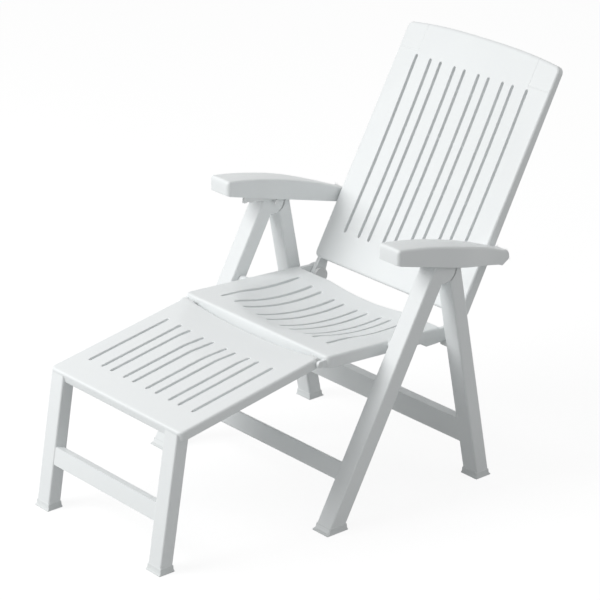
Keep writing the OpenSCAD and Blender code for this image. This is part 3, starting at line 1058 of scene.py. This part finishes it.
@dataclass
class Legs:
    """The legs of both frames and the footrest, with their foot caps."""

    resin: bpy.types.Material
    caps: bpy.types.Material
    apex: Point = (186.0, 553.0)
    inner: float = 276.0
    width: float = 48.0
    front_lean: float = 29.2
    front_depth: float = 42.0
    front_ahead: float = 13.0
    rear_lean: float = 10.9
    rear_depth: float = 38.0
    rear_behind: float = 28.0
    footrest_lean: float = 9.8
    footrest_depth: float = 34.0
    footrest_inner: float = 186.0
    footrest_width: float = 46.0
    footrest_front: Point = (-508.0, 327.0)
    footrest_top: float = 320.5
    head: float = 34.0
    tongue: float = 20.0
    tongue_width: float = 24.0
    gap: float = 0.5
    pin: float = 6.05
    radius: float = 5.0
    cap_height: float = 16.0
    flare: float = 3.0

    def front_bar(self) -> Bar:
        """Gives the sizes of a front leg."""
        lean = math.radians(self.front_lean)
        foot = self.apex[0] - self.front_ahead / math.cos(lean) - self.apex[1] * math.tan(lean)
        return Bar(foot, self.front_lean, self.front_depth, self.inner, self.apex[1], self.width)

    def rear_bar(self) -> Bar:
        """Gives the sizes of a rear leg."""
        lean = math.radians(self.rear_lean)
        foot = self.apex[0] + self.rear_behind / math.cos(lean) + self.apex[1] * math.tan(lean)
        high = self.apex[1] + self.tongue
        return Bar(foot, -self.rear_lean, self.rear_depth, self.inner, high, self.width)

    def footrest_bar(self) -> Bar:
        """Gives the sizes of a footrest leg."""
        lean = math.radians(self.footrest_lean)
        front, high = self.footrest_front
        foot = front - high * math.tan(lean) + self.footrest_depth / 2 / math.cos(lean)
        return Bar(foot, self.footrest_lean, self.footrest_depth, self.footrest_inner, self.footrest_top,
                   self.footrest_width)

    def build(self) -> list[bpy.types.Object]:
        """Builds the legs and their caps.

        Returns:
            Six legs and six caps.
        """
        pieces = []
        for side in Side:
            for name, body, bar, make in (
                    ("front_leg", "front_frame", self.front_bar(), self.front_leg),
                    ("rear_leg", "rear_frame", self.rear_bar(), self.rear_leg),
                    ("footrest_leg", "footrest", self.footrest_bar(), self.footrest_leg)):
                leg = make(f"{name}_moulding_{side.label}", bar, side)
                cap = self.cap(f"{name}_cap_{side.label}", bar, side)
                dress(leg, self.resin)
                dress(cap, self.caps)
                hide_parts(f"{name}_{side.label}")
                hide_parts(f"{name.replace('leg', 'glide')}_{side.label}")
                for piece, slot in ((leg, "resin"), (cap, "foot_caps")):
                    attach(piece, body)
                    pieces.append(piece)
        return pieces

    def front_leg(self, name: str, bar: Bar, side: Side) -> bpy.types.Object:
        """Builds a front leg with the fork at its head.

        Args:
            name: The object's name.
            bar: The leg's sizes.
            side: Its side.

        Returns:
            The leg.
        """
        past_apex = self.front_depth / 2 - self.front_ahead
        low = -self.front_lean - math.degrees(math.acos(past_apex / self.head))
        outline = bar.outline()[:2] + arc(self.apex, self.head, low, 180 - self.front_lean, 36)
        leg = plate(name, outline, *bar.spans(side), self.radius)
        share = (bar.width - self.tongue_width - 2 * self.gap) / 2 / bar.width
        slot = bar.spans(side, share, 1 - share)
        bottom = self.apex[1] + self.head * math.sin(math.radians(low)) - 2
        open_side = [bar.edge(1, bottom), (320.0, bottom), (320.0, 640.0), (self.apex[0], 640.0), self.apex]
        round_cut = arc(self.apex, self.tongue + self.gap, 0, 350, 35)
        carve(leg, [bare("fork_cut", open_side, *slot), bare("fork_round", round_cut, *slot)])
        return leg

    def rear_leg(self, name: str, bar: Bar, side: Side) -> bpy.types.Object:
        """Builds a rear leg with the tongue that runs in the front leg's fork.

        Args:
            name: The object's name.
            bar: The leg's sizes.
            side: Its side.

        Returns:
            The leg.
        """
        past_apex = self.rear_behind - self.rear_depth / 2
        turn = math.degrees(math.acos(past_apex / self.tongue))
        outline = bar.outline()
        outline += arc(self.apex, self.tongue, self.rear_lean + turn, 360 + self.rear_lean - turn, 28)
        leg = plate(name, outline, *bar.spans(side), self.radius)
        share = (bar.width - self.tongue_width) / 2 / bar.width
        around = arc(self.apex, self.head + self.gap, 0, 354, 59)
        hole = arc(self.apex, self.pin, 0, 345, 23)
        low, high = bar.spans(side, -0.1, share), bar.spans(side, 1 - share, 1.1)
        carve(leg, [bare("cheek_one", around, *low), bare("cheek_two", around, *high),
                    bare("pin_hole", hole, *bar.spans(side, -0.2, 1.2))])
        return leg

    def footrest_leg(self, name: str, bar: Bar, side: Side) -> bpy.types.Object:
        """Builds a footrest leg, which ends under the footrest's rounded edge."""
        return plate(name, bar.outline(), *bar.spans(side), 4.5)

    def cap(self, name: str, bar: Bar, side: Side) -> bpy.types.Object:
        """Builds a foot cap that follows its leg's slope and flares at the floor.

        Args:
            name: The object's name.
            bar: The sizes of its leg.
            side: Its side.

        Returns:
            The cap.
        """
        shift = self.cap_height * math.tan(math.radians(bar.lean))
        half = bar.depth / 2 / math.cos(math.radians(bar.lean))
        mid = side.value * (bar.low + bar.width / 2)
        low_y = bar.foot - half - self.flare + min(shift, 0)
        high_y = bar.foot + half + self.flare + max(shift, 0)
        mesh = bmesh.new()
        rings = []
        for z, follow in ((0.0, 0.0), (2.0, 0.1), (6.0, 0.8), (self.cap_height, 1.0)):
            out = follow * (self.flare - 0.7)
            half_x = bar.width / 2 + self.flare - out
            start = low_y + out + follow * max(shift, 0)
            end = high_y - out + follow * min(shift, 0)
            rings.append([mesh.verts.new(in_part(mid + sx * half_x, y, z))
                          for sx, y in ((-1, start), (1, start), (1, end), (-1, end))])
        for one, two in zip(rings, rings[1:]):
            for k in range(4):
                mesh.faces.new([one[k], one[(k + 1) % 4], two[(k + 1) % 4], two[k]])
        mesh.faces.new(rings[0])
        mesh.faces.new(rings[-1])
        bmesh.ops.recalc_face_normals(mesh, faces=mesh.faces[:])
        cap = new_object(mesh, name)
        soften(cap, 2.0, 40, 3)
        return cap


@dataclass
class Fittings:
    """The boards, pins, racks and bushes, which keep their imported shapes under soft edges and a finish."""

    nodes: dict[str, bpy.types.Object]
    resin: bpy.types.Material
    pins: bpy.types.Material
    board_radius: float = 3.5
    pin_radius: float = 0.8
    hidden: tuple[str, ...] = ("seat", "back", "armrest", "footrest_panel", "front_leg", "rear_leg",
                               "footrest_leg", "front_glide", "rear_glide", "footrest_glide")

    def build(self) -> None:
        """Dresses each node that is kept."""
        for name, node in self.nodes.items():
            if name.replace("_left", "").replace("_right", "") in self.hidden:
                continue
            finish, radius = self.resin, self.board_radius
            if any(word in name for word in ("pin", "peg", "bush", "rack", "hook")):
                finish, radius = self.pins, self.pin_radius
            dress(node, finish)
            self.round_edges(node, radius)
            LOG.info("dressed %s", name)

    def round_edges(self, node: bpy.types.Object, radius: float) -> None:
        """Welds a node's faces and rounds its edges.

        Args:
            node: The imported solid's object.
            radius: Size of the rounding in millimetres.
        """
        for polygon in node.data.polygons:
            polygon.use_smooth = True
        weld = node.modifiers.new("joined_faces", "WELD")
        weld.merge_threshold = 1e-5
        soften(node, radius, 35, 3, clamp=True)


@dataclass
class Studio:
    """The camera, the soft lights and the white surroundings."""

    lens: float = 161.64
    camera_at: tuple[float, float, float] = (4.4011, -3.7305, 2.7391)
    right: tuple[float, float, float] = (0.64706, 0.76244, 0.0)
    up: tuple[float, float, float] = (-0.28401, 0.24103, 0.92803)
    back: tuple[float, float, float] = (0.70757, -0.60049, 0.3725)
    key_power: float = 124.0
    back_power: float = 9.0
    lamp_size: float = 2.6
    aim: tuple[float, float, float] = (0.0, 0.0, 0.4)
    fill: float = 0.44
    floor_glow: float = 0.87
    floor_shadow: float = 0.2

    def build(self) -> None:
        """Builds the camera, the lights, the world and the floor."""
        self.camera()
        self.lamp("key_light", (-1.6, -3.2, 3.0), self.key_power)
        self.lamp("back_light", (2.8, 2.6, 2.4), self.back_power)
        self.world()
        self.floor()
        bpy.context.scene.view_settings.view_transform = "Standard"

    def camera(self) -> None:
        """Places the camera at the photograph's angle."""
        data = bpy.data.cameras.new("camera")
        data.lens = self.lens
        data.sensor_width = 36.0
        camera = bpy.data.objects.new("camera", data)
        bpy.context.scene.collection.objects.link(camera)
        turn = Matrix((self.right, self.up, self.back)).transposed().to_4x4()
        camera.matrix_world = Matrix.Translation(self.camera_at) @ turn
        bpy.context.scene.camera = camera

    def lamp(self, name: str, at: tuple[float, float, float], power: float) -> None:
        """Adds a soft square lamp that faces the chair.

        Args:
            name: The lamp's name.
            at: Its place.
            power: Its power in watts.
        """
        data = bpy.data.lights.new(name, "AREA")
        data.size = self.lamp_size
        data.energy = power
        lamp = bpy.data.objects.new(name, data)
        lamp.location = at
        lamp.rotation_euler = (Vector(at) - Vector(self.aim)).to_track_quat("Z", "Y").to_euler()
        bpy.context.scene.collection.objects.link(lamp)

    def seen(self, tree: bpy.types.NodeTree) -> bpy.types.NodeSocket:
        """Finds the rays that see the surroundings: from the camera, from gloss and through clear pieces.

        Args:
            tree: The tree that gets the nodes.

        Returns:
            A socket that is 1 for those rays and 0 for the rest.
        """
        path = add_node(tree, "ShaderNodeLightPath")
        gloss = add_node(tree, "ShaderNodeMath", {"operation": "MAXIMUM"})
        tree.links.new(path.outputs["Is Camera Ray"], gloss.inputs[0])
        tree.links.new(path.outputs["Is Glossy Ray"], gloss.inputs[1])
        clear = add_node(tree, "ShaderNodeMath", {"operation": "MAXIMUM"})
        tree.links.new(gloss.outputs[0], clear.inputs[0])
        tree.links.new(path.outputs["Is Transmission Ray"], clear.inputs[1])
        return clear.outputs[0]

    def world(self) -> None:
        """Makes a white surround that lights the chair softly from all sides."""
        world = bpy.data.worlds.new("studio")
        bpy.context.scene.world = world
        world.use_nodes = True
        tree = world.node_tree
        tree.nodes.clear()
        light = add_node(tree, "ShaderNodeBackground", {"Color": WHITE, "Strength": self.fill})
        white = add_node(tree, "ShaderNodeBackground", {"Color": WHITE, "Strength": 1.0})
        mix = add_node(tree, "ShaderNodeMixShader", {}, {"Fac": self.seen(tree)})
        tree.links.new(light.outputs[0], mix.inputs[1])
        tree.links.new(white.outputs[0], mix.inputs[2])
        add_node(tree, "ShaderNodeOutputWorld", {}, {"Surface": mix.outputs[0]})

    def floor(self) -> None:
        """Lays a pale floor that looks white and keeps a faint shadow."""
        mesh = bmesh.new()
        bmesh.ops.create_grid(mesh, x_segments=1, y_segments=1, size=8.0)
        floor = new_object(mesh, "floor")
        material = bpy.data.materials.new("pale_floor")
        material.use_nodes = True
        tree = material.node_tree
        tree.nodes.clear()
        matt = add_node(tree, "ShaderNodeBsdfDiffuse", {"Color": linear("#b9bbbb")})
        white = add_node(tree, "ShaderNodeEmission", {"Color": WHITE, "Strength": self.floor_glow})
        shadow_grey = (self.floor_shadow, self.floor_shadow, self.floor_shadow, 1.0)
        shadowed = add_node(tree, "ShaderNodeBsdfDiffuse", {"Color": shadow_grey})
        lit = add_node(tree, "ShaderNodeAddShader")
        tree.links.new(white.outputs[0], lit.inputs[0])
        tree.links.new(shadowed.outputs[0], lit.inputs[1])
        mix = add_node(tree, "ShaderNodeMixShader", {}, {"Fac": self.seen(tree)})
        tree.links.new(matt.outputs[0], mix.inputs[1])
        tree.links.new(lit.outputs[0], mix.inputs[2])
        add_node(tree, "ShaderNodeOutputMaterial", {}, {"Surface": mix.outputs[0]})
        floor.data.materials.append(material)


@dataclass
class DeckChair:
    """The whole chair: finishes first, then each sub-assembly in order."""

    frame: dict

    def build(self) -> None:
        """Builds and reports every piece."""
        # Injection-moulded polypropylene: white with a cool cast, soft highlights and a fine even grain
        resin = MouldedResin("injection_moulded_polypropylene", "#f0f3f3", "#eef1f2", 0.42).build()
        # Moulded polyethylene caps: the same white, duller from scuffing on the ground
        caps = MouldedResin("moulded_polyethylene_cap", "#e9ecec", "#e2e6e6", 0.58, 1.6, 0.04).build()
        # Turned acetal pins and racks: a harder, shinier white
        pins = MouldedResin("acetal_pin", "#eceeee", "#e8eaea", 0.32, 2.0, 0.01).build()
        Fittings(self.frame["nodes"], resin, pins).build()
        self.report(Legs(resin, caps).build())
        self.report(Seat(resin).build())
        self.report(Back(resin).build())
        self.report([Armrest(resin, side).build() for side in Side])
        self.report(Footrest(resin).build())

    def report(self, pieces: list[bpy.types.Object]) -> None:
        """Logs the pieces just made."""
        for piece in pieces:
            LOG.info("made %s", piece.name)


def main() -> None:
    """Builds the scene."""
    logging.basicConfig(level=logging.INFO, format="%(name)s: %(message)s")
    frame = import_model()
    Studio().build()
    DeckChair(frame).build()


if __name__ == "__main__":
    main()
